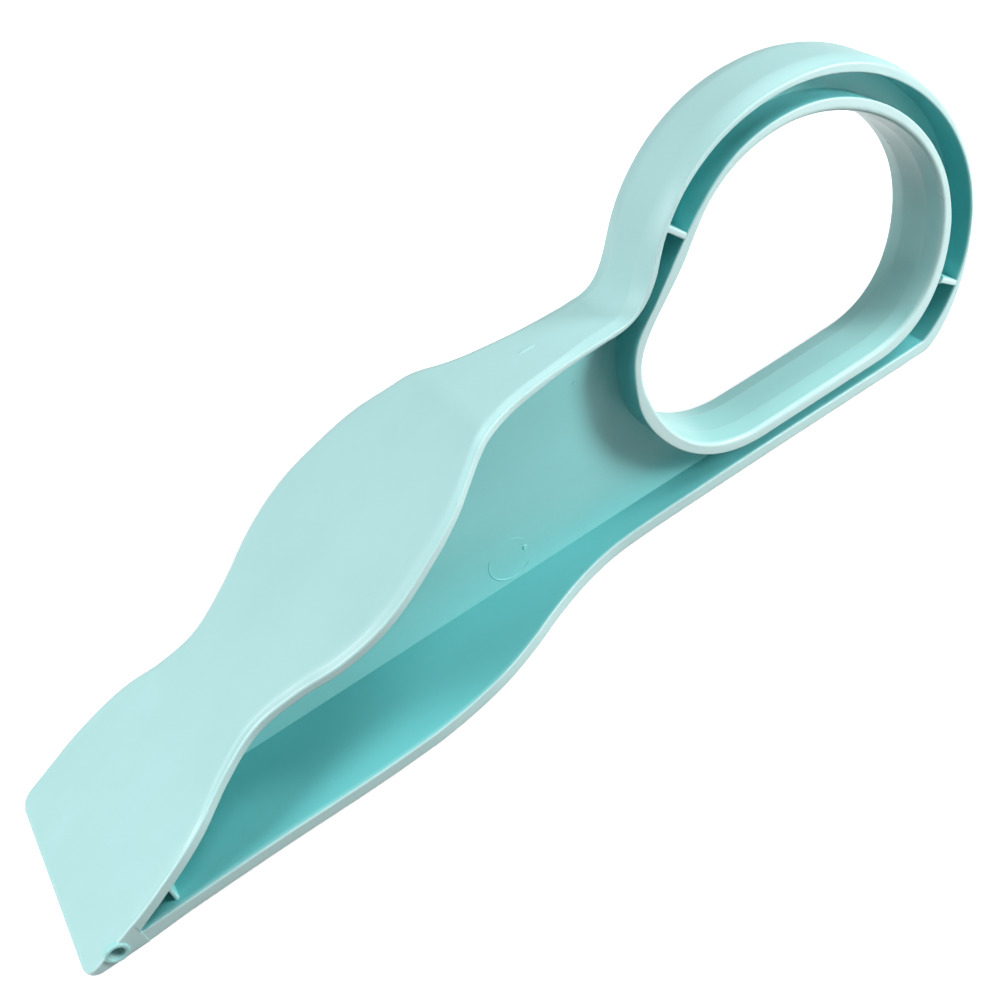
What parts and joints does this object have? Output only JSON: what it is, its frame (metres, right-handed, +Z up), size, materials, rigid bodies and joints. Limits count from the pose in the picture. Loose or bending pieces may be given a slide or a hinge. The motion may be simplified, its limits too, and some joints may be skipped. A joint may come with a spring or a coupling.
{
  "type": "mattress lifter",
  "caption": "One-piece moulded plastic mattress lifter: thin-nosed ramp wedge on a flat base with a centre web and a D-shaped finger-loop handle.",
  "frame": {"origin": "on the resting face, midway between the nose and the back of the handle band, on the mid-plane", "axes": "+X from the nose towards the handle, +Y across the width, +Z up from the resting face"},
  "size_m": [0.304, 0.0632, 0.109],
  "materials": {
    "mint_plastic": "satin moulded polypropylene, mint green"
  },
  "bodies": {
    "root": {"nose_wedge": "mint_plastic", "ramp_deck": "mint_plastic", "base_blade": "mint_plastic", "blade_web": "mint_plastic", "channel_web": "mint_plastic", "handle_band": "mint_plastic", "finger_sleeve": "mint_plastic", "neck_rib_near": "mint_plastic", "neck_rib_far": "mint_plastic", "heel_rib_near": "mint_plastic", "heel_rib_far": "mint_plastic", "tip_rib_near": "mint_plastic", "tip_rib_far": "mint_plastic", "core_collar": "mint_plastic"}
  },
  "joints": []
}
